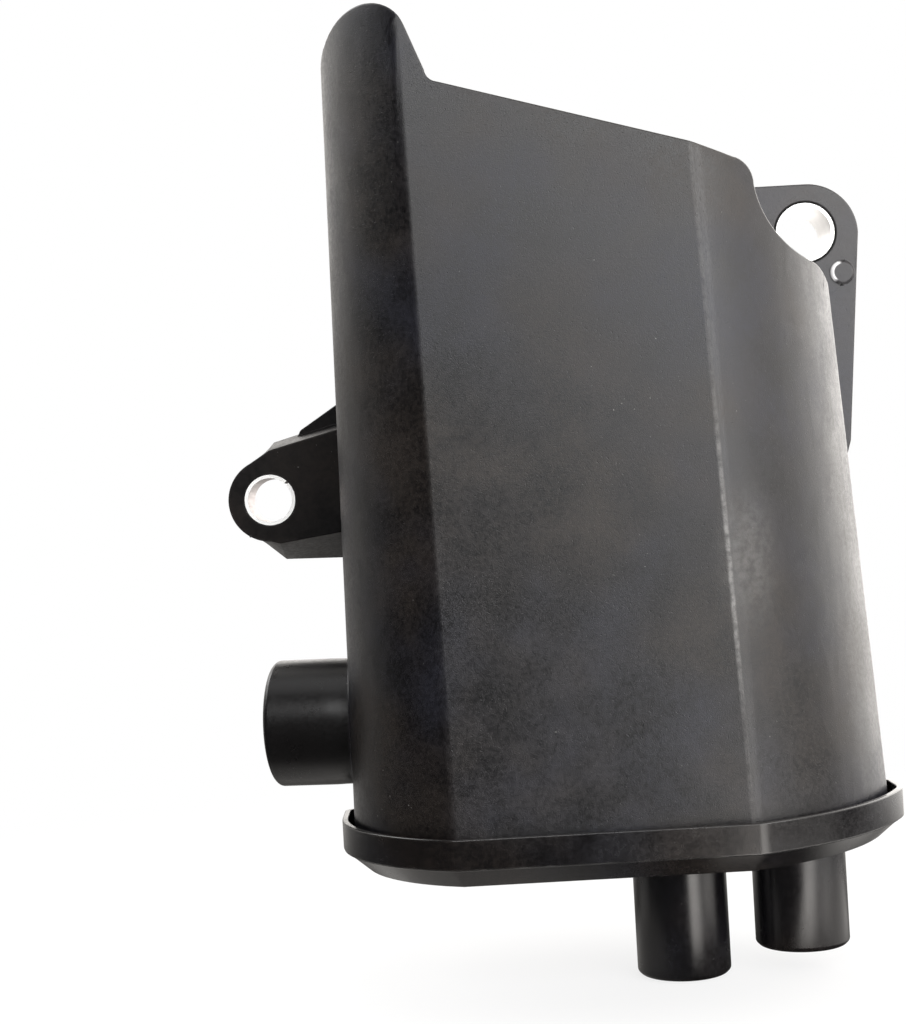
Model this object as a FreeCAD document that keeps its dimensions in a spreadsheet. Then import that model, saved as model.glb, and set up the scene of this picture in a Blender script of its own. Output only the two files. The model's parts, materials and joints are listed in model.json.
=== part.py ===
import FreeCAD, Part
import math
import os
import Sketcher
from FreeCAD import Vector

# Crankcase ventilation oil trap: a moulded housing with two mounting ears, a base cap welded
# into its foot, a baffle inside and a steel sleeve in each ear.
# X runs to the right and Z up in the front view, Y runs from the front to the back.
# The origin is the left bolt's axis on the mounting plane, which is the back of both ears.

doc = FreeCAD.newDocument("oil_trap")
sheet = doc.addObject("Spreadsheet::Sheet", "Dims")

SIZES = [
    # the whole body, without ears, rim and stubs: rim to rim, and foot to crown
    ("body_wide", 117.5), ("body_deep", 80.0), ("body_high", 166.5),
    ("rim_left", 14.5), ("rim_back", -1.5), ("foot_z", -71.0),
    # in from the left edge
    ("crease_left_x", 23.6), ("dome_x", 13.5), ("flank_top_x", 22.4), ("flank_low_x", 25.8),
    ("slope_left_x", 28.0), ("baffle_x", 43.5), ("arm_x", 7.5), ("side_x", -13.63),
    # in from the right edge
    ("crease_right_x", 36.1), ("slope_right_x", 32.6),
    ("notch_top_x", 28.1), ("notch_low_x", 14.4), ("shoulder_x", 9.6),
    ("right_bolt_x", 8.0), ("right_drain_x", 22.6),
    # back from the front
    ("rim_side_y", 35.2), ("bend_y", 33.5), ("bend_end_y", 37.75), ("rim_end_y", 46.5),
    ("side_y", 49.5), ("drain_y", 37.0), ("baffle_front", 11.5),
    # down from the crown
    ("flank_top_z", 6.2), ("flank_low_z", 15.0), ("slope_left_z", 17.3),
    ("slope_right_z", 34.1), ("notch_top_z", 39.3), ("notch_low_z", 53.4),
    ("shoulder_z", 59.0), ("crown_low", 17.5), ("right_bolt_z", 41.9), ("baffle_high", 39.5),
    # up from the housing's foot, and down from it
    ("rim_high", 3.6), ("side_z", 22.43), ("shelf_first", 39.0),
    ("rim_low", 2.4), ("dish_low", 6.4), ("left_drain_low", 32.9), ("right_drain_low", 28.3),
    # ears and sleeves
    ("ear_thick", 15.0), ("left_boss_r", 9.4), ("web_thick", 5.0),
    ("right_ear_top", 10.9), ("right_ear_side", 12.0), ("right_ear_round", 11.4),
    ("right_ear_reach", 29.0), ("right_ear_waist", 4.2), ("right_ear_knee", 47.4),
    ("right_ear_drop", 69.6), ("pip_x", 7.8), ("pip_z", 9.5),
    ("pip_r", 2.5), ("pip_high", 0.8),
    ("left_sleeve_r", 5.7), ("right_sleeve_r", 6.6), ("sleeve_wall", 0.75),
    ("sleeve_split", 0.6),
    # rounds of the plan outline
    ("rim_arc_r", 38.0), ("rim_corner_r", 12.0), ("rim_bend_r", 12.0),
    ("side_arc_r", 61.0), ("side_in", 0.5), ("bend_set", 0.82),
    # walls and joint
    ("rim_wall", 1.3), ("channel_gap", 1.2), ("wall", 2.5), ("cap_floor", 2.4),
    ("dish_edge", 0.4), ("dish_inset", 5.0),
    # how far the walls lean in at the top of the loft, which stands over the crown
    ("loft_over", 4.5), ("lean_left", 1.8), ("lean_front", 2.8), ("lean_right", 10.4),
    ("lean_crease_left", -3.0), ("lean_crease_right", 6.0),
    # rounds of the top outline
    ("dome_r", 9.5), ("valley_r", 2.6), ("brow_r", 5.0), ("notch_r", 16.9),
    ("shoulder_r", 6.6),
    # back of the dome, seen from the side
    ("crown_flat", 32.5), ("crown_r", 34.5),
    # side stub and bottom stubs
    ("side_r", 13.5), ("side_bore_r", 11.3), ("side_yaw", 10.0), ("side_long", 24.0),
    ("side_grip", 13.0), ("side_taper", 0.3),
    ("stub_lead", 0.8), ("drain_r", 9.75), ("drain_bore_r", 7.6), ("drain_pitch", 25.1),
    # baffle
    ("baffle_thick", 2.0), ("baffle_gap", 8.0), ("foot_wide", 18.0), ("shelf_long", 44.0),
    ("shelf_step", 8.0), ("shelf_tilt", 14.0), ("shelf_pitch", 30.0),
]
for row, (name, value) in enumerate(SIZES, start=1):
    sheet.set(f"A{row}", name)
    sheet.set(f"B{row}", str(value))
    sheet.setAlias(f"B{row}", name)
doc.recompute()


class Len:
    """A length: its number, and the expression that drives it from the sheet."""

    def __init__(self, number, text):
        self.n = number
        self.t = text

    def __add__(self, other):
        other = as_len(other)
        return Len(self.n + other.n, f"({self.t} + {other.t})")

    def __sub__(self, other):
        other = as_len(other)
        return Len(self.n - other.n, f"({self.t} - {other.t})")

    def __mul__(self, factor):
        return Len(self.n * factor, f"({self.t} * {factor})")

    def __neg__(self):
        return Len(-self.n, f"(0 - {self.t})")


def as_len(value):
    return value if isinstance(value, Len) else Len(float(value), f"({float(value)})")


D = {name: Len(value, f"Dims.{name}") for name, value in SIZES}


def place_from(edge, way, names):
    """Turns distances from an edge of the body into places."""
    for name in names:
        D[name] = D[edge] + D[name] * way


D["rim_right"] = D["rim_left"] + D["body_wide"]
D["rim_front"] = D["rim_back"] - D["body_deep"]
D["crown"] = D["foot_z"] + D["body_high"]
D["dome_z"] = D["crown"] - D["dome_r"]
D["loft_top"] = D["crown"] + D["loft_over"]
place_from("rim_left", 1, [
    "crease_left_x", "dome_x", "flank_top_x", "flank_low_x", "slope_left_x", "baffle_x",
    "arm_x", "side_x",
])
place_from("rim_right", -1, [
    "crease_right_x", "slope_right_x", "notch_top_x", "notch_low_x",
    "shoulder_x", "right_bolt_x", "right_drain_x",
])
place_from("rim_front", 1, [
    "rim_side_y", "bend_y", "bend_end_y", "rim_end_y", "side_y", "drain_y", "baffle_front",
])
place_from("crown", -1, [
    "flank_top_z", "flank_low_z", "slope_left_z", "slope_right_z", "notch_top_z",
    "notch_low_z", "shoulder_z", "crown_low", "right_bolt_z", "baffle_high",
])
place_from("foot_z", 1, ["rim_high", "side_z", "shelf_first"])
place_from("foot_z", -1, ["rim_low", "dish_low", "left_drain_low", "right_drain_low"])
D["left_drain_x"] = D["right_drain_x"] - D["drain_pitch"]
D["crown_y"] = D["rim_back"] - D["crown_flat"]
D["baffle_back"] = D["rim_back"] - D["channel_gap"] - D["rim_wall"] - D["baffle_gap"]


def new_body(name):
    return doc.addObject("PartDesign::Body", name)


def origin_plane(body, role):
    return next(f for f in body.Origin.OriginFeatures if f.Role == role)


def new_sketch(body, name, role, offset):
    """A sketch on one of the body's own planes, moved along the plane's normal."""
    sk = body.newObject("Sketcher::SketchObject", name)
    sk.AttachmentSupport = [(origin_plane(body, role), "")]
    sk.MapMode = "FlatFace"
    offset = as_len(offset)
    sk.AttachmentOffset = FreeCAD.Placement(Vector(0, 0, offset.n), FreeCAD.Rotation())
    sk.setExpression("AttachmentOffset.Base.z", offset.t)
    return sk


def drive(sk, kind, args, length):
    index = sk.addConstraint(Sketcher.Constraint(kind, *args, length.n))
    sk.setExpression(f"Constraints[{index}]", length.t)


def outline(sk, corners, arcs):
    """A closed outline. arcs: first corner -> (radius, +1 centre on the left, -1 on the right)."""
    corners = [(as_len(x), as_len(y)) for x, y in corners]
    count = len(corners)
    starts = []
    ends = []
    for i, (x, y) in enumerate(corners):
        p = Vector(x.n, y.n, 0)
        nx, ny = corners[(i + 1) % count]
        q = Vector(nx.n, ny.n, 0)
        if i not in arcs:
            geo = sk.addGeometry(Part.LineSegment(p, q), False)
            starts.append((geo, 1))
            ends.append((geo, 2))
            continue
        radius, side = arcs[i]
        half = (q - p) * 0.5
        rise = math.sqrt(max(radius.n ** 2 - half.Length ** 2, 0.0))
        normal = Vector(-half.y, half.x, 0).normalize() * (rise * side)
        centre = p + half + normal
        first, last = (p, q) if side > 0 else (q, p)
        a0 = math.atan2(first.y - centre.y, first.x - centre.x)
        a1 = math.atan2(last.y - centre.y, last.x - centre.x)
        circle = Part.Circle(centre, Vector(0, 0, 1), radius.n)
        geo = sk.addGeometry(Part.ArcOfCircle(circle, a0, a1), False)
        starts.append((geo, 1 if side > 0 else 2))
        ends.append((geo, 2 if side > 0 else 1))
    for i in range(count):
        sk.addConstraint(Sketcher.Constraint("Coincident", *ends[i - 1], *starts[i]))
    for i, (x, y) in enumerate(corners):
        drive(sk, "DistanceX", (-1, 1, *starts[i]), x)
        drive(sk, "DistanceY", (-1, 1, *starts[i]), y)
        if i in arcs:
            drive(sk, "Radius", (starts[i][0],), arcs[i][0])


def circle(sk, x, y, radius):
    x, y = as_len(x), as_len(y)
    geo = sk.addGeometry(Part.Circle(Vector(x.n, y.n, 0), Vector(0, 0, 1), radius.n), False)
    drive(sk, "Radius", (geo,), radius)
    drive(sk, "DistanceX", (-1, 1, geo, 3), x)
    drive(sk, "DistanceY", (-1, 1, geo, 3), y)


def grow(body, kind, sk, length, backwards=False):
    """A pad or a pocket of the given length."""
    feat = body.newObject(f"PartDesign::{kind}", f"{sk.Name}_{kind.lower()}")
    feat.Profile = sk
    feat.Length = length.n
    feat.setExpression("Length", length.t)
    feat.Reversed = backwards
    sk.Visibility = False
    doc.recompute()
    return feat


def loft(body, kind, first, second):
    feat = body.newObject(f"PartDesign::{kind}Loft", f"{first.Name}_loft")
    feat.Profile = first
    feat.Sections = [second]
    feat.Ruled = True
    doc.recompute()
    return feat


def plan(sk, inset, high=0.0, side=0.0, rim=False):
    """The plan outline, inset from the rim's outside.

    high is the share of the lean, side is a further set-in on the right, and a rim's outline
    ends halfway back, where the rim turns in to the housing.
    """
    inset = as_len(inset)

    def lean(name):
        return D[name] * high

    left = D["rim_left"] + inset + lean("lean_left")
    front = D["rim_front"] + inset + lean("lean_front")
    right = D["rim_right"] - inset - lean("lean_right") - side
    back = D["rim_back"] - inset
    corner = D["rim_corner_r"] - inset
    if rim:
        back = D["rim_end_y"] - inset
        corner = D["rim_wall"] + D["channel_gap"] - inset
    outline(sk, [
        (left, D["rim_side_y"]),
        (D["crease_left_x"] + inset * 0.23 + lean("lean_crease_left"), front),
        (D["crease_right_x"] - inset * 0.18 - lean("lean_crease_right"), front),
        (right - D["bend_set"] + inset * 0.08, D["bend_y"] + inset * 0.39),
        (right, D["bend_end_y"]),
        (right, back - corner),
        (right - corner, back),
        (left + corner, back),
        (left, back - corner),
    ], {
        0: (D["rim_arc_r"] - inset, 1),
        2: (D["side_arc_r"] - inset, 1),
        3: (D["rim_bend_r"] - inset, 1),
        5: (corner, 1),
        7: (corner, 1),
    })


def top_cut(sk, inset):
    """Everything above the top outline, which is inset from the housing's outside."""
    inset = as_len(inset)

    def at(x, z, kx, kz):
        return (D[x] + inset * kx, D[z] + inset * kz)

    dome = D["dome_r"]
    outer_left = D["rim_left"] - D["body_wide"] * 0.5
    outer_right = D["rim_right"] + D["body_wide"] * 0.35
    over = D["loft_top"] + D["loft_over"] * 4
    corners = [
        (outer_left, D["dome_z"]),
        (D["dome_x"] - dome + inset, D["dome_z"]),
        (D["dome_x"], D["dome_z"] + dome - inset),
        at("flank_top_x", "flank_top_z", -0.93, -0.36),
        at("flank_low_x", "flank_low_z", -0.93, -0.36),
        at("slope_left_x", "slope_left_z", -0.30, -0.954),
        at("slope_right_x", "slope_right_z", -0.30, -0.954),
        at("notch_top_x", "notch_top_z", -0.984, -0.177),
        at("notch_low_x", "notch_low_z", -0.177, -0.984),
        at("shoulder_x", "shoulder_z", -1.0, 0.0),
        (outer_right, D["shoulder_z"]),
        (outer_right, over),
        (outer_left, over),
    ]
    arcs = {
        1: (dome - inset, -1),
        2: (dome - inset, -1),
        4: (D["valley_r"] + inset, 1),
        6: (D["brow_r"] - inset, -1),
        7: (D["notch_r"] + inset, 1),
        8: (D["shoulder_r"] - inset, -1),
    }
    outline(sk, corners, arcs)


def crown_cut(sk, inset, skin):
    """Everything above the arc that brings the dome down to the back wall."""
    high = D["dome_z"] + D["dome_r"] - skin
    low = D["crown_low"] - skin * 0.24
    over = D["loft_top"] + D["loft_over"] * 4
    behind = D["rim_back"] + D["body_deep"] * 0.25
    outline(sk, [
        (D["crown_y"], over), (D["crown_y"], high), (D["rim_back"] - inset, low),
        (behind, low), (behind, over),
    ], {1: (D["crown_r"] - skin, -1)})


def leaning_shell(name, inset, skin):
    """A leaning column on the plan outline, cut along the top outline."""
    body = new_body(name)
    low = new_sketch(body, f"{name}_low", "XY_Plane", D["foot_z"])
    plan(low, inset, 0.0, D["side_in"])
    high = new_sketch(body, f"{name}_high", "XY_Plane", D["loft_top"])
    plan(high, inset, 1.0, D["side_in"])
    doc.recompute()
    loft(body, "Additive", low, high)
    cut = new_sketch(body, f"{name}_top", "XZ_Plane", D["body_deep"] * 1.5)
    top_cut(cut, skin)
    grow(body, "Pocket", cut, D["body_deep"] * 2.5)
    crown = new_sketch(body, f"{name}_crown", "YZ_Plane", D["dome_x"] + D["body_wide"] * 0.3)
    crown_cut(crown, inset, as_len(skin))
    grow(body, "Pocket", crown, D["body_wide"])
    return body


def plate(name, corners, arcs, thick):
    """A plate on the mounting plane that stands forward from it."""
    body = new_body(name)
    sk = new_sketch(body, f"{name}_face", "XZ_Plane", 0)
    outline(sk, corners, arcs)
    grow(body, "Pad", sk, thick)
    return body


def left_ear():
    """A boss on an arm whose sides slope outwards to the back, with a web above it."""
    body = new_body("left_ear_blank")
    inner, boss_r = D["arm_x"], D["left_boss_r"]

    def at(across, up):
        return (boss_r * across, boss_r * up)

    front = new_sketch(body, "left_arm_front", "XZ_Plane", D["ear_thick"])
    outline(front, [
        at(-0.532, 0.84), at(0.043, 1.19), (inner, boss_r * 1.766), (inner, boss_r * -0.766),
        at(0.191, -1.053), at(-0.532, -0.851),
    ], {})
    back = new_sketch(body, "left_arm_back", "XZ_Plane", 0)
    outline(back, [
        at(-0.532, 0.84), at(0.032, 1.447), (inner, boss_r * 2.064), (inner, boss_r * -1.532),
        at(0.191, -1.479), at(-0.532, -0.851),
    ], {})
    doc.recompute()
    loft(body, "Additive", front, back)
    boss = new_sketch(body, "left_boss", "XZ_Plane", 0)
    circle(boss, 0, 0, boss_r)
    grow(body, "Pad", boss, D["ear_thick"])
    web = new_sketch(body, "left_web", "XZ_Plane", 0)
    outline(web, [
        at(0.638, 1.489), at(0.734, 1.681), at(1.543, 2.191), (inner, boss_r * 2.702),
        (inner, boss_r * 1.489),
    ], {})
    grow(body, "Pad", web, D["web_thick"])
    return body


def right_ear():
    """A flat plate that runs down behind the housing's side, with a round pip."""
    bx, bz = D["right_bolt_x"], D["right_bolt_z"]
    top = bz + D["right_ear_top"]
    side = bx + D["right_ear_side"]
    inner, low = bx - D["right_ear_reach"], bz - D["right_ear_drop"]
    corners = [
        (inner, top), (side - D["right_ear_round"], top), (side, top - D["right_ear_round"]),
        (side - D["right_ear_waist"], bz - D["right_ear_knee"]), (bx + 1, low), (inner, low),
    ]
    body = plate("right_ear_blank", corners, {1: (D["right_ear_round"], -1)}, D["ear_thick"])
    pip = new_sketch(body, "pip", "XZ_Plane", D["ear_thick"])
    circle(pip, bx + D["pip_x"], bz - D["pip_z"], D["pip_r"])
    grow(body, "Pad", pip, D["pip_high"])
    return body


def turn(body, yaw, x, y, z):
    """Moves a body and turns it clockwise, seen from above."""
    clockwise = FreeCAD.Rotation(Vector(0, 0, -1), yaw.n)
    body.Placement = FreeCAD.Placement(Vector(x.n, y.n, z.n), clockwise)
    for part, value in (("Base.x", x), ("Base.y", y), ("Base.z", z)):
        body.setExpression(f"Placement.{part}", value.t)
    body.setExpression("Placement.Rotation.Angle", yaw.t)


def side_tube(name, radius, start, long):
    """A cylinder on the side stub's axis, from its open end inwards."""
    body = new_body(name)
    sk = new_sketch(body, f"{name}_ring", "YZ_Plane", start)
    circle(sk, 0, 0, radius)
    grow(body, "Pad", sk, long)
    turn(body, D["side_yaw"], D["side_x"], D["side_y"], D["side_z"])
    return body


def side_root(start):
    """The stub's root, which tapers slightly from where the hose ends."""
    body = new_body("side_root")
    first = new_sketch(body, "root_start", "YZ_Plane", start)
    circle(first, 0, 0, D["side_r"])
    last = new_sketch(body, "root_end", "YZ_Plane", D["side_long"])
    circle(last, 0, 0, D["side_r"] - D["side_taper"])
    doc.recompute()
    loft(body, "Additive", first, last)
    turn(body, D["side_yaw"], D["side_x"], D["side_y"], D["side_z"])
    return body


def end_edges(shape, axis, value):
    """The edges that lie wholly at one level along an axis."""
    found = []
    for i, edge in enumerate(shape.Edges, start=1):
        box = edge.BoundBox
        low, high = getattr(box, f"{axis}Min"), getattr(box, f"{axis}Max")
        if abs(low - value) < 0.01 and abs(high - value) < 0.01:
            found.append(i)
    return found


def lead_in(body, axis, value):
    """A chamfer round an open end."""
    edges = [f"Edge{i}" for i in end_edges(body.Tip.Shape, axis, value)]
    feat = body.newObject("PartDesign::Chamfer", f"{body.Name}_lead")
    feat.Base = (feat.BaseFeature, edges)
    feat.Size = D["stub_lead"].n
    feat.setExpression("Size", D["stub_lead"].t)
    doc.recompute()
    return feat


def bolt_hole(name, x, z, radius):
    """A cylinder along Y through an ear, for cutting its hole."""
    body = new_body(name)
    sk = new_sketch(body, f"{name}_ring", "XZ_Plane", -1)
    circle(sk, x, z, radius)
    grow(body, "Pad", sk, D["ear_thick"] + 2)
    return body


def join(kind, name, base, tools):
    made = doc.addObject(f"Part::{kind}", name)
    if kind == "MultiFuse":
        made.Shapes = [base] + tools
    else:
        made.Base = base
        made.Tool = tools[0]
    doc.recompute()
    return made


def housing(outside, gap):
    """The hollow shell with the side stub on it."""
    inside = leaning_shell("inside", gap + D["wall"], D["wall"])
    grip = D["side_grip"]
    stub = side_tube("side_stub", D["side_r"], as_len(0), grip)
    lead_in(stub, "X", 0.0)
    root = side_root(grip)
    solid = join("MultiFuse", "solid", outside, [stub, root])
    bore = side_tube("side_bore", D["side_bore_r"], as_len(-1), D["side_long"] + 4)
    space = join("MultiFuse", "space", inside, [bore])
    return join("Cut", "housing", solid, [space])


def ear(name, blank, outside, x, z, radius):
    """An ear that ends on the housing's outside, with the hole for its sleeve."""
    hole = bolt_hole(f"{name}_hole", as_len(x), as_len(z), radius)
    space = join("MultiFuse", f"{name}_space", outside, [hole])
    return join("Cut", name, blank, [space])


def sleeve(name, x, z, radius, split_angle):
    """A rolled steel tube with an open seam."""
    body = new_body(name)
    sk = new_sketch(body, f"{name}_ring", "XZ_Plane", 0)
    circle(sk, x, z, radius)
    circle(sk, x, z, radius - D["sleeve_wall"])
    grow(body, "Pad", sk, D["ear_thick"])
    seam = new_sketch(body, f"{name}_seam", "XZ_Plane", D["ear_thick"] + 1)
    c, s = math.cos(math.radians(split_angle)), math.sin(math.radians(split_angle))
    near = radius - D["sleeve_wall"] * 2
    far = radius + 1
    half = D["sleeve_split"] * 0.5
    outline(seam, [
        (x + near * c + half * s, z + near * s - half * c),
        (x + far * c + half * s, z + far * s - half * c),
        (x + far * c - half * s, z + far * s + half * c),
        (x + near * c - half * s, z + near * s + half * c),
    ], {})
    grow(body, "Pocket", seam, D["ear_thick"] + 2)
    return body


def base_cap():
    """A dished cap with two stubs, and a rim that stands clear round the front of the foot."""
    body = new_body("base_cap")
    dish_top = new_sketch(body, "dish_top", "XY_Plane", D["rim_low"])
    plan(dish_top, D["dish_edge"])
    dish_low = new_sketch(body, "dish_low", "XY_Plane", D["dish_low"])
    plan(dish_low, D["dish_inset"])
    doc.recompute()
    loft(body, "Additive", dish_top, dish_low)
    rim = new_sketch(body, "rim", "XY_Plane", D["rim_low"])
    plan(rim, 0, rim=True)
    grow(body, "Pad", rim, D["rim_high"] - D["rim_low"])
    seat = new_sketch(body, "seat", "XY_Plane", D["rim_low"])
    plan(seat, CLEAR, 0.0, D["side_in"])
    grow(body, "Pad", seat, D["foot_z"] - D["rim_low"])
    channel = new_sketch(body, "channel", "XY_Plane", D["rim_high"])
    plan(channel, D["rim_wall"], rim=True)
    grow(body, "Pocket", channel, D["rim_high"] - D["foot_z"])
    hollow = new_sketch(body, "hollow", "XY_Plane", D["rim_high"])
    plan(hollow, CLEAR, 0.0, D["side_in"])
    grow(body, "Pocket", hollow, D["rim_high"] - D["foot_z"])
    for name, x, low in (("left_drain", D["left_drain_x"], D["left_drain_low"]),
                         ("right_drain", D["right_drain_x"], D["right_drain_low"])):
        ring = new_sketch(body, name, "XY_Plane", low)
        circle(ring, x, D["drain_y"], D["drain_r"])
        grow(body, "Pad", ring, D["rim_low"] - low)
        lead_in(body, "Z", low.n)
    sump = new_sketch(body, "sump", "XY_Plane", D["foot_z"])
    plan(sump, D["dish_inset"] + D["wall"])
    grow(body, "Pocket", sump, D["foot_z"] - D["dish_low"] - D["cap_floor"])
    for name, x, low in (("left_drain", D["left_drain_x"], D["left_drain_low"]),
                         ("right_drain", D["right_drain_x"], D["right_drain_low"])):
        bore = new_sketch(body, f"{name}_bore", "XY_Plane", D["foot_z"])
        circle(bore, x, D["drain_y"], D["drain_bore_r"])
        grow(body, "Pocket", bore, D["foot_z"] - low + 1)
    return body


def baffle():
    """One moulding: an upright wall on a foot, with three sloping shelves."""
    body = new_body("baffle_insert")
    deep = D["baffle_back"] - D["baffle_front"]
    x, t = D["baffle_x"], D["baffle_thick"]
    low = D["dish_low"] + D["cap_floor"]
    wide = D["foot_wide"] * 0.5
    section = new_sketch(body, "baffle_wall", "XZ_Plane", -D["baffle_back"])
    outline(section, [
        (x - wide, low), (x + wide, low), (x + wide, low + t), (x + t, low + t),
        (x + t, D["baffle_high"]), (x, D["baffle_high"]), (x, low + t), (x - wide, low + t),
    ], {})
    grow(body, "Pad", section, deep)
    drop = math.tan(math.radians(D["shelf_tilt"].n))
    for i in range(3):
        shelf = new_sketch(body, f"shelf_{i + 1}", "XZ_Plane", -D["baffle_back"])
        z = D["shelf_first"] + D["shelf_pitch"] * i
        end = D["shelf_long"] - D["shelf_step"] * i
        outline(shelf, [
            (x + t * 0.5, z), (x + t * 0.5, z - t), (x + end, z - t - end * drop),
            (x + end, z - end * drop),
        ], {})
        grow(body, "Pad", shelf, deep)
    return body


CLEAR = D["rim_wall"] + D["channel_gap"]
OUTSIDE = leaning_shell("outside", CLEAR, 0)
RIGHT_X, RIGHT_Z = D["right_bolt_x"], D["right_bolt_z"]
PIECES = [
    housing(OUTSIDE, CLEAR),
    ear("left_ear", left_ear(), OUTSIDE, 0, 0, D["left_sleeve_r"]),
    ear("right_ear", right_ear(), OUTSIDE, RIGHT_X, RIGHT_Z, D["right_sleeve_r"]),
    base_cap(),
    baffle(),
    sleeve("left_sleeve", as_len(0), as_len(0), D["left_sleeve_r"], 43),
    sleeve("right_sleeve", RIGHT_X, RIGHT_Z, D["right_sleeve_r"], 205),
]
doc.recompute()

for item in doc.Objects:
    if "Invalid" in item.State or "Error" in item.State:
        raise RuntimeError(f"{item.Name}: {item.State}")

os.makedirs("parts", exist_ok=True)
for piece in PIECES:
    shape = piece.Shape
    if shape.isNull() or not shape.isValid() or not shape.Solids:
        raise RuntimeError(f"{piece.Label} has no valid solid")
    print(piece.Label, len(shape.Solids), round(shape.Volume / 1000, 2), "cm3", shape.BoundBox)
    shape.exportStep(f"parts/{piece.Label}.step")
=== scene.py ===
import json
import math

import bpy
from mathutils import Matrix, Vector

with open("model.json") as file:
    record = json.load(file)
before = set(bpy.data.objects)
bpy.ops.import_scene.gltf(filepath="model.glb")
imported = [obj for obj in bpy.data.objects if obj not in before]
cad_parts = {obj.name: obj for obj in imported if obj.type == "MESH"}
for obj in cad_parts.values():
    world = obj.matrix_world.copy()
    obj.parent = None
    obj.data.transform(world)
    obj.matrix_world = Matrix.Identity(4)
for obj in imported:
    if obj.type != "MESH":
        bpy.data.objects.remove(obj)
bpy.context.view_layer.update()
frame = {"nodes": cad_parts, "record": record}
scene = bpy.context.scene
nodes = frame["nodes"]
MOUNTS = {mount["name"]: mount for mount in frame["record"]["mounts"]}

# Colours are linear. Lengths are in metres, and X, Y and Z are the part's own.
WHITE = (1.0, 1.0, 1.0, 1.0)
WARM = (1.0, 0.965, 0.925, 1.0)
# Plastics: the dark ground, then the blue and the brown of its clouds.
GRAINED = ((0.0018, 0.0016, 0.0021), (0.0085, 0.0088, 0.0145), (0.0140, 0.0102, 0.0082))
MATT = ((0.0100, 0.0095, 0.0110), (0.0280, 0.0280, 0.0360), (0.0340, 0.0290, 0.0280))
POLISHED = ((0.0030, 0.0027, 0.0029), (0.0080, 0.0078, 0.0100), (0.0120, 0.0090, 0.0076))
STUB_BLACK = (0.0035, 0.0030, 0.0032)
# Painted shade, for the dark line round the right sleeve.
SHADE_LINE_BLACK = (0.002, 0.002, 0.002)
SPECK = (0.34, 0.335, 0.32)
WORN_EDGE = (0.20, 0.197, 0.19)
# Painted highlights: the first on the front crease, the second on the pip's edge.
CREASE_HIGHLIGHT_COLOUR = (0.21, 0.205, 0.20)
PIP_HIGHLIGHT_COLOUR = (0.95, 0.94, 0.95)
STEEL_END = (0.96, 0.96, 0.95)
GRAIN_DEPTH = 0.0001

# The long crease on the front: X = CREASE_X - CREASE_LEAN * Z. A highlight is painted along it,
# brightest near the third value below.
CREASE_X, CREASE_LEAN, CREASE_BRIGHTEST_Z = 0.09296, 0.03509, -0.016
CREASE_Y = (-0.072, -0.070)
# Centre and squash of the painted highlight patch beside the crease, and the depths where the
# crease highlight fades out.
HIGHLIGHT_PATCH_X, HIGHLIGHT_PATCH_Z, HIGHLIGHT_PATCH_SQUASH = 0.0975, -0.0169, 0.45
CREASE_HIGHLIGHT_FADE_Y = (-0.045, -0.035)
STUB_END_X = 0.0168
# The round pip on the right ear, and the way that its painted highlight faces.
PIP_X, PIP_Z, PIP_EDGE_R = 0.1318, 0.0441, 0.0023
PIP_HIGHLIGHT_WAY = (-0.966, 0.0, 0.259)
EAR_FRONT_Y = (-0.012, -0.010)
# The radius of the painted shade line round the right sleeve.
SLEEVE_SHADE_R = 0.00675
SLEEVE_FRONT_Y = (-0.01480, -0.01490)

# Edge roundings, in metres.
ROUNDINGS = {"housing": 0.0004, "left_ear": 0.00025, "right_ear": 0.00045, "base_cap": 0.0003}
ROUNDED_FROM_DEG = 30.0
FLAT_WITHIN_DEG = 0.6
WELD_WITHIN = 0.000004

FLOOR_SIZE = 8.0
FLOOR_AT = (0.06, -0.04, -0.1042)
FLOOR_ALBEDO = (0.90, 0.90, 0.90, 1.0)
FLOOR_DIM = 0.04
# Bright spots of the floor in the part's reflections: place on the floor, radii, level.
FLOOR_SPOTS = [
    ((-0.074, 0.018, 0.0), 0.020, 0.042, 0.42),  # seen in the left ear and side stub
    ((-0.020, 0.000, 0.0), 0.025, 0.050, 0.40),  # seen in the dish
    ((0.130, -0.015, 0.0), 0.045, 0.070, 1.30),  # seen in the drain stubs
]
WORLD_FRONT, WORLD_BACK, WORLD_RIGHT = 0.03, 1.0, 1.9

LAMP_CENTRE = Vector((0.065, -0.060, 0.0))
LAMP_DISTANCE = 1.2
# name, azimuth, elevation, roll, size, radiance
LAMPS = [
    ("front_box", 26.0, 15.0, 45.0, (0.76, 0.76), 5.2),
    ("high_left", -9.0, 29.0, 0.0, (0.50, 0.40), 7.2),
    ("right_fill", 54.0, 12.0, 0.0, (0.56, 0.80), 3.0),
    ("upper_left", -112.0, 39.0, 0.0, (1.10, 0.60), 3.5),
    ("top_panel", 0.0, 80.0, 0.0, (1.2, 0.8), 1.0),
]

CAMERA_AT = (0.0411, -0.4375, -0.0050)
CAMERA_ROLL = 0.05594
SENSOR_MM = 36.0
LENS_PX, PHOTO_HIGH_PX = 1872.1, 1024


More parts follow.
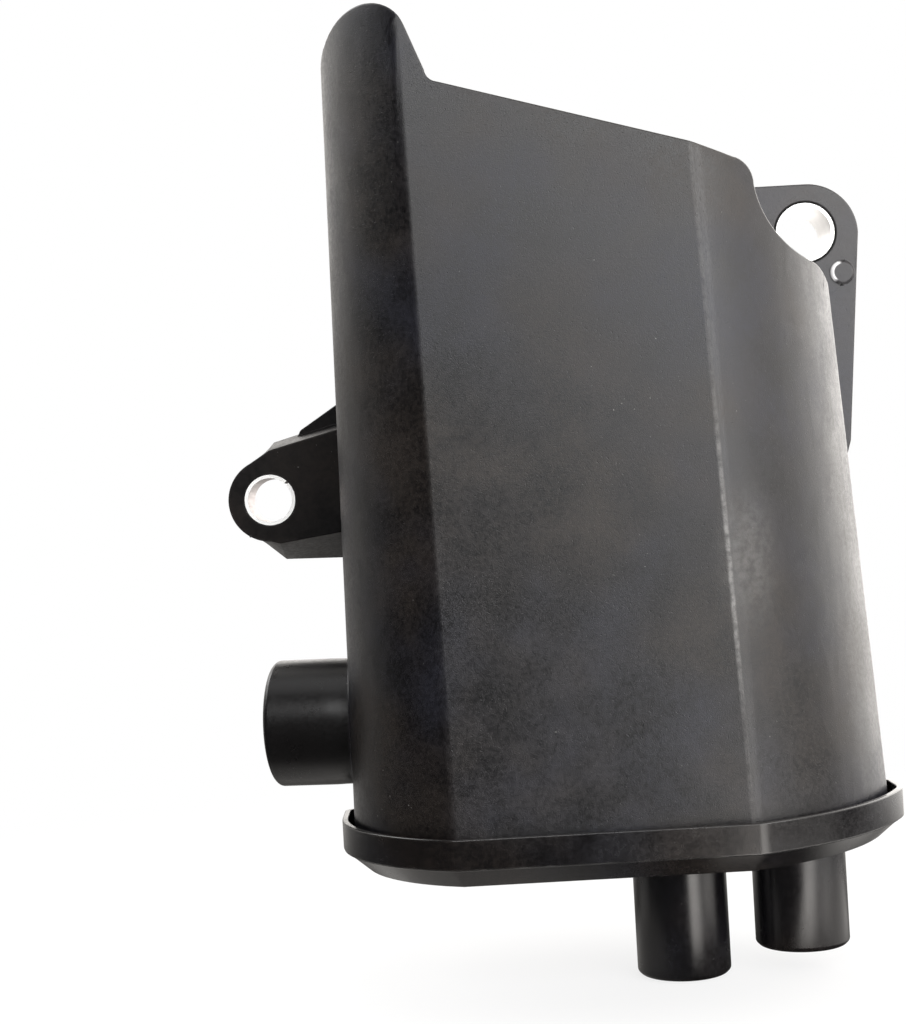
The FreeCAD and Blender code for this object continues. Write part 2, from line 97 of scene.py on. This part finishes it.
class Tree:
    """Short calls for one node tree."""

    def __init__(self, tree):
        self.tree = tree
        tree.nodes.clear()

    def add(self, kind, inputs=None, **settings):
        node = self.tree.nodes.new(kind)
        for key, value in settings.items():
            setattr(node, key, value)
        for key, value in (inputs or {}).items():
            if isinstance(value, bpy.types.NodeSocket):
                self.tree.links.new(value, node.inputs[key])
            else:
                node.inputs[key].default_value = value
        return node

    def math(self, operation, a, b=0.0, clamp=False):
        node = self.add("ShaderNodeMath", {0: a, 1: b}, operation=operation, use_clamp=clamp)
        return node.outputs[0]

    def times(self, *values):
        """The product of two or more values."""
        product = values[0]
        for value in values[1:]:
            product = self.math("MULTIPLY", product, value)
        return product

    def vector(self, operation, a, b=None):
        inputs = {0: a} if b is None else {0: a, 1: b}
        return self.add("ShaderNodeVectorMath", inputs, operation=operation).outputs

    def length(self, step):
        return self.vector("LENGTH", step)["Value"]

    def split(self, value):
        return self.add("ShaderNodeSeparateXYZ", {0: value}).outputs

    def ramp(self, value, low, high, to_low=0.0, to_high=1.0):
        """Maps a value's range to another one, with soft ends."""
        node = self.add("ShaderNodeMapRange", {
            "Value": value, "From Min": low, "From Max": high,
            "To Min": to_low, "To Max": to_high,
        }, interpolation_type="SMOOTHSTEP")
        return node.outputs[0]

    def band(self, value, middle, near, far, peak=1.0):
        """The peak within the near distance of the middle, and 0 past the far one."""
        away = self.math("ABSOLUTE", self.math("SUBTRACT", value, middle))
        return self.ramp(away, near, far, peak, 0.0)

    def noise(self, where, scale, detail=2.0, rough=0.5):
        node = self.add("ShaderNodeTexNoise", {
            "Vector": where, "Scale": scale, "Detail": detail, "Roughness": rough,
        })
        return node.outputs["Fac"]

    def mix(self, factor, a, b):
        """Mixes two colours."""
        node = self.add("ShaderNodeMix", {0: factor}, data_type="RGBA")
        for socket, value in ((node.inputs[6], a), (node.inputs[7], b)):
            if isinstance(value, bpy.types.NodeSocket):
                self.tree.links.new(value, socket)
            else:
                socket.default_value = (*value, 1.0)
        return node.outputs[2]

    def mix_shader(self, factor, a, b):
        node = self.add("ShaderNodeMixShader", {0: factor, 1: a.outputs[0], 2: b.outputs[0]})
        return node

    def seen(self):
        """1 for rays that look straight at the surface, and the node of all ray kinds."""
        path = self.add("ShaderNodeLightPath").outputs
        return self.math("ADD", path["Is Camera Ray"], path["Is Transmission Ray"]), path


def new_material(name):
    mat = bpy.data.materials.new(name)
    mat.use_nodes = True
    return mat, Tree(mat.node_tree)


def object_place(t):
    return t.add("ShaderNodeTexCoord").outputs["Object"]


def edge_mask(t, radius, low, high):
    """1 on sharp outer and inner edges, 0 on flat faces."""
    rounded = t.add("ShaderNodeBevel", {"Radius": radius}, samples=6).outputs["Normal"]
    flat = t.add("ShaderNodeNewGeometry").outputs["Normal"]
    dot = t.vector("DOT_PRODUCT", rounded, flat)["Value"]
    return t.ramp(t.math("SUBTRACT", 1.0, dot), low, high)


def from_axis(t, where, x, z):
    """The step to a place from an axis that runs front to back."""
    step = t.vector("SUBTRACT", where, (x, 0.0, z))[0]
    return t.vector("MULTIPLY", step, (1.0, 0.0, 1.0))[0]


def paint_crease_highlight(t, where, parts, colour):
    """A highlight is painted along the long crease, and on a patch of the face beside it too.
    """
    patch = t.add("ShaderNodeMapping", {
        "Vector": where, "Location": (-HIGHLIGHT_PATCH_X, 0.0, -HIGHLIGHT_PATCH_Z * HIGHLIGHT_PATCH_SQUASH),
        "Scale": (1.0, 0.0, HIGHLIGHT_PATCH_SQUASH),
    }).outputs[0]
    spot = t.ramp(t.length(patch), 0.0005, 0.0085, 0.22, 0.0)
    across = t.math("ADD", parts["X"], t.math("MULTIPLY", parts["Z"], CREASE_LEAN))
    line = t.times(
        t.band(across, CREASE_X, 0.00012, 0.00070),
        t.ramp(t.math("ABSOLUTE", t.math("SUBTRACT", parts["Z"], CREASE_BRIGHTEST_Z)),
               0.010, 0.036, 0.72, 0.18),
        t.ramp(parts["Y"], *CREASE_Y, 1.0, 0.0))
    amount = t.times(
        t.math("ADD", spot, line),
        t.ramp(t.noise(where, 650.0, 3.0, 0.6), 0.25, 0.75, 0.25, 1.0),
        t.ramp(parts["Y"], *CREASE_HIGHLIGHT_FADE_Y, 1.0, 0.0))
    return t.mix(amount, colour, CREASE_HIGHLIGHT_COLOUR)


def paint_plate_shade_and_highlight(t, where, parts, colour, roughness):
    """A dark line of painted shade runs round the sleeve, and a highlight is painted on the
    pip's upper left edge.
    """
    bolt_x, _, bolt_z = MOUNTS["right_bolt"]["pos_m"]
    # Painted shade: a dark, rougher line round the sleeve.
    gap_shade = t.band(t.length(from_axis(t, where, bolt_x, bolt_z)), SLEEVE_SHADE_R, 0.00025, 0.00055)
    colour = t.mix(gap_shade, colour, SHADE_LINE_BLACK)
    roughness = t.math("ADD", roughness, t.math("MULTIPLY", gap_shade, 0.6))
    # Painted highlight on the pip's upper left edge.
    around = from_axis(t, where, PIP_X, PIP_Z)
    way = t.vector("DOT_PRODUCT", t.vector("NORMALIZE", around)[0], PIP_HIGHLIGHT_WAY)["Value"]
    pip_highlight = t.times(
        t.band(t.length(around), PIP_EDGE_R, 0.00015, 0.00050),
        t.ramp(way, 0.25, 0.70),
        t.ramp(parts["Y"], *EAR_FRONT_Y, 1.0, 0.0))
    return t.mix(pip_highlight, colour, PIP_HIGHLIGHT_COLOUR), roughness


def moulded_plastic(name, palette, rough, grain, part=None, gloss=0.5):
    """Black plastic with cloudy tints, a fine grain, pinholes, pale specks and rubbed edges;
    the housing gets a painted highlight, the right ear painted shade and a painted highlight.
    """
    mat, t = new_material(name)
    where = object_place(t)
    parts = t.split(where)
    dark, blue, brown = palette
    tint = t.mix(t.ramp(t.noise(where, 34.0, 3.0), 0.36, 0.64), blue, brown)
    clouds = t.ramp(t.noise(where, 75.0, 4.0, 0.6), 0.30, 0.70)
    mottle = t.ramp(t.noise(where, 1100.0, 3.0, 0.6), 0.32, 0.68)
    depth = t.math("ADD", t.math("MULTIPLY", clouds, 0.6), t.math("MULTIPLY", mottle, 0.4))
    colour = t.mix(depth, dark, tint)
    specks = t.times(t.ramp(t.noise(where, 1900.0, 1.0), 0.775, 0.815),
                     t.ramp(t.noise(where, 60.0, 2.0), 0.46, 0.66), 0.45)
    colour = t.mix(specks, colour, SPECK)
    worn = t.times(edge_mask(t, 0.0009, 0.02, 0.40),
                   t.ramp(t.noise(where, 190.0, 3.0), 0.30, 0.75, 0.25, 1.0), 0.50)
    colour = t.mix(worn, colour, WORN_EDGE)
    roughness = t.math("ADD", t.ramp(clouds, 0.0, 1.0, rough - 0.03, rough + 0.03),
                       t.ramp(mottle, 0.0, 1.0, -0.10 * rough, 0.10 * rough))
    strength = grain
    if part == "housing":
        # A highlight is painted along the front crease and on a patch beside it.
        colour = paint_crease_highlight(t, where, parts, colour)
        # The side stub, left of the housing, has no grain.
        body = t.ramp(parts["X"], STUB_END_X - 0.0005, STUB_END_X + 0.0005)
        roughness = t.math("MULTIPLY", roughness, t.ramp(body, 0.0, 1.0, 0.88, 1.0))
        strength = t.math("MULTIPLY", body, grain)
        colour = t.mix(body, STUB_BLACK, colour)
    if part == "right_ear":
        # Painted shade round the right sleeve and a painted highlight on the pip.
        colour, roughness = paint_plate_shade_and_highlight(t, where, parts, colour, roughness)
    pits = t.ramp(t.noise(where, 2500.0, 1.0), 0.22, 0.32)
    fine = t.math("ADD", t.noise(where, 4800.0, 2.0, 0.6), pits)
    bump = t.add("ShaderNodeBump", {
        "Height": fine, "Strength": strength, "Distance": GRAIN_DEPTH,
    })
    shader = t.add("ShaderNodeBsdfPrincipled", {
        "Base Color": colour, "Roughness": roughness, "Normal": bump.outputs[0],
        "Specular IOR Level": gloss,
    })
    t.add("ShaderNodeOutputMaterial", {"Surface": shader.outputs[0]})
    return mat


def rolled_steel(name, wall, metal):
    """Rolled steel: faint lines along the bolt's axis, and a bright ground end in front."""
    mat, t = new_material(name)
    where = object_place(t)
    stretched = t.add("ShaderNodeMapping", {"Vector": where, "Scale": (1.0, 0.05, 1.0)})
    lines = t.noise(stretched.outputs[0], 1500.0, 2.0)
    clouds = t.ramp(t.noise(where, 160.0, 2.0), 0.35, 0.65)
    front = t.ramp(t.split(where)["Y"], *SLEEVE_FRONT_Y)
    inner = t.mix(clouds, wall, tuple(c * 1.08 for c in wall))
    colour = t.mix(front, inner, STEEL_END)
    worn = t.math("MULTIPLY", edge_mask(t, 0.0003, 0.02, 0.35), 0.6)
    colour = t.mix(worn, colour, STEEL_END)
    roughness = t.math("ADD", t.ramp(lines, 0.3, 0.7, 0.34, 0.42),
                       t.math("MULTIPLY", front, 0.14))
    bump = t.add("ShaderNodeBump", {"Height": lines, "Strength": 0.05, "Distance": 0.00005})
    shader = t.add("ShaderNodeBsdfPrincipled", {
        "Base Color": colour, "Metallic": t.ramp(front, 0.0, 1.0, metal, 0.35),
        "Roughness": roughness, "Normal": bump.outputs[0],
    })
    t.add("ShaderNodeOutputMaterial", {"Surface": shader.outputs[0]})
    return mat


def set_materials():
    smooth = moulded_plastic("black_plastic_smooth", POLISHED, 0.23, 0.12)
    looks = {
        "housing": moulded_plastic("black_plastic_grain", GRAINED, 0.37, 0.30, "housing"),
        "right_ear": moulded_plastic("black_plastic_plate", MATT, 0.37, 0.30, "right_ear"),
        # The left ear gets a low specular level so that it renders darker: a shaded copy of the
        # plastic, standing in for shade.
        "left_ear": moulded_plastic("black_plastic_dimmed_as_shade", POLISHED, 0.42, 0.12, gloss=0.15),
        "base_cap": smooth,
        "baffle_insert": smooth,
        # The left sleeve's bore wall is a dark pinkish grey: painted shade inside the bore.
        "left_sleeve": rolled_steel("rolled_steel_left", (0.27, 0.235, 0.23), 1.0),
        "right_sleeve": rolled_steel("rolled_steel_right", (0.93, 0.92, 0.91), 0.4),
    }
    for name, mat in looks.items():
        nodes[name].data.materials.clear()
        nodes[name].data.materials.append(mat)


def soften(piece, width, segments=3):
    """Rounds a CAD node's sharp edges: the flat faces are made whole first."""
    weld = piece.modifiers.new("weld", "WELD")
    weld.merge_threshold = WELD_WITHIN
    whole = piece.modifiers.new("whole", "DECIMATE")
    whole.decimate_type = "DISSOLVE"
    whole.angle_limit = math.radians(FLAT_WITHIN_DEG)
    bevel = piece.modifiers.new("round", "BEVEL")
    bevel.width = width
    bevel.segments = segments
    bevel.limit_method = "ANGLE"
    bevel.angle_limit = math.radians(ROUNDED_FROM_DEG)
    bevel.use_clamp_overlap = False
    normals = piece.modifiers.new("normals", "WEIGHTED_NORMAL")
    normals.weight = 50
    normals.keep_sharp = False


def floor_level(t, place):
    """The floor in reflections: it glows white behind the part and bright at the right front,
    and is dim elsewhere.
    """
    parts = t.split(place)
    x, y = parts["X"], parts["Y"]
    ahead = t.math("MAXIMUM", t.math("SUBTRACT", -0.005, y), 0.005)
    slant = t.math("DIVIDE", t.math("SUBTRACT", x, 0.025), ahead)
    front_strip = t.times(
        t.ramp(slant, 0.15, 0.32), t.ramp(slant, 0.50, 1.0, 5.8, 1.6),
        t.ramp(x, 0.10, 0.25, 1.0, 0.3), t.ramp(ahead, 0.020, 0.055))
    behind = t.times(t.ramp(y, -0.02, 0.30), t.ramp(x, -0.20, 0.40, 0.5, 2.8))
    level = t.math("ADD", t.math("ADD", behind, FLOOR_DIM), front_strip)
    for spot, near, far, peak in FLOOR_SPOTS:
        away = t.vector("DISTANCE", place, spot)["Value"]
        level = t.math("ADD", level, t.ramp(away, near, far, peak, 0.0))
    return level


def make_floor():
    """A plain pale floor that keeps the part's shadow near it."""
    bpy.ops.mesh.primitive_plane_add(size=FLOOR_SIZE, location=FLOOR_AT)
    floor = bpy.context.object
    floor.name = "floor"
    mat, t = new_material("pale_floor")
    diffuse = t.add("ShaderNodeBsdfDiffuse", {"Color": FLOOR_ALBEDO})
    glow = t.add("ShaderNodeEmission", {"Color": WHITE, "Strength": 1.0})
    place = object_place(t)
    seen, path = t.seen()
    share = t.ramp(t.length(place), 0.05, 0.30, 0.80, 1.0)
    both = t.mix_shader(t.math("MULTIPLY", seen, share), diffuse, glow)
    # Glossy rays see the floor glow at this level: painted reflections of light, seen only in
    # the part's reflections.
    mirror = t.add("ShaderNodeEmission", {"Color": WARM, "Strength": floor_level(t, place)})
    all_rays = t.mix_shader(path["Is Glossy Ray"], both, mirror)
    t.add("ShaderNodeOutputMaterial", {"Surface": all_rays.outputs[0]})
    floor.data.materials.append(mat)
    return floor


def make_world():
    """The studio is white behind the part and dim on the camera's side."""
    world = bpy.data.worlds.new("studio")
    scene.world = world
    world.use_nodes = True
    t = Tree(world.node_tree)
    seen, _ = t.seen()
    way = t.split(t.add("ShaderNodeTexCoord").outputs["Generated"])
    upper_left = t.times(t.ramp(way["Z"], 0.06, 0.20), t.ramp(way["X"], 0.0, 0.40, 1.25, 0.25))
    back = t.times(
        t.ramp(way["Y"], 0.05, 0.85, 0.0, WORLD_BACK),
        t.math("ADD", t.ramp(way["X"], -0.45, 0.45, 0.26, 2.5), upper_left))
    right = t.ramp(way["X"], 0.05, 0.75, WORLD_FRONT, WORLD_RIGHT)
    level = t.math("ADD", back, right)
    dim = t.add("ShaderNodeBackground", {"Color": WARM, "Strength": level})
    white = t.add("ShaderNodeBackground", {"Color": WHITE, "Strength": 1.0})
    both = t.mix_shader(t.math("ADD", seen, 0.0, clamp=True), dim, white)
    t.add("ShaderNodeOutputWorld", {"Surface": both.outputs[0]})


def lamp(name, azimuth, elevation, roll, size, radiance):
    """A soft box round the part: azimuth 0 is in front, 90 to the right."""
    data = bpy.data.lights.new(name, "AREA")
    data.shape = "RECTANGLE"
    data.size, data.size_y = size
    data.energy = radiance * math.pi * size[0] * size[1]
    piece = bpy.data.objects.new(name, data)
    scene.collection.objects.link(piece)
    turn, rise = math.radians(azimuth), math.radians(elevation)
    towards = Vector((
        math.sin(turn) * math.cos(rise), -math.cos(turn) * math.cos(rise), math.sin(rise),
    ))
    piece.location = LAMP_CENTRE + towards * LAMP_DISTANCE
    facing = (-towards).to_track_quat("-Z", "Y").to_matrix().to_4x4()
    spun = facing @ Matrix.Rotation(math.radians(roll), 4, "Z")
    piece.rotation_euler = spun.to_euler()
    piece.visible_camera = False


def make_camera():
    """A level camera in front, rolled a little, as the photo's was."""
    data = bpy.data.cameras.new("camera")
    data.sensor_fit = "VERTICAL"
    data.sensor_height = SENSOR_MM
    data.lens = LENS_PX / PHOTO_HIGH_PX * SENSOR_MM
    data.clip_start = 0.01
    camera = bpy.data.objects.new("camera", data)
    scene.collection.objects.link(camera)
    camera.matrix_world = (
        Matrix.Translation(CAMERA_AT)
        @ Matrix.Rotation(math.radians(90), 4, "X")
        @ Matrix.Rotation(-CAMERA_ROLL, 4, "Z")
    )
    return camera


set_materials()
for name, width in ROUNDINGS.items():
    soften(nodes[name], width)
floor = make_floor()
make_world()
for row in LAMPS:
    lamp(*row)
scene.camera = make_camera()
scene.view_settings.view_transform = "Standard"
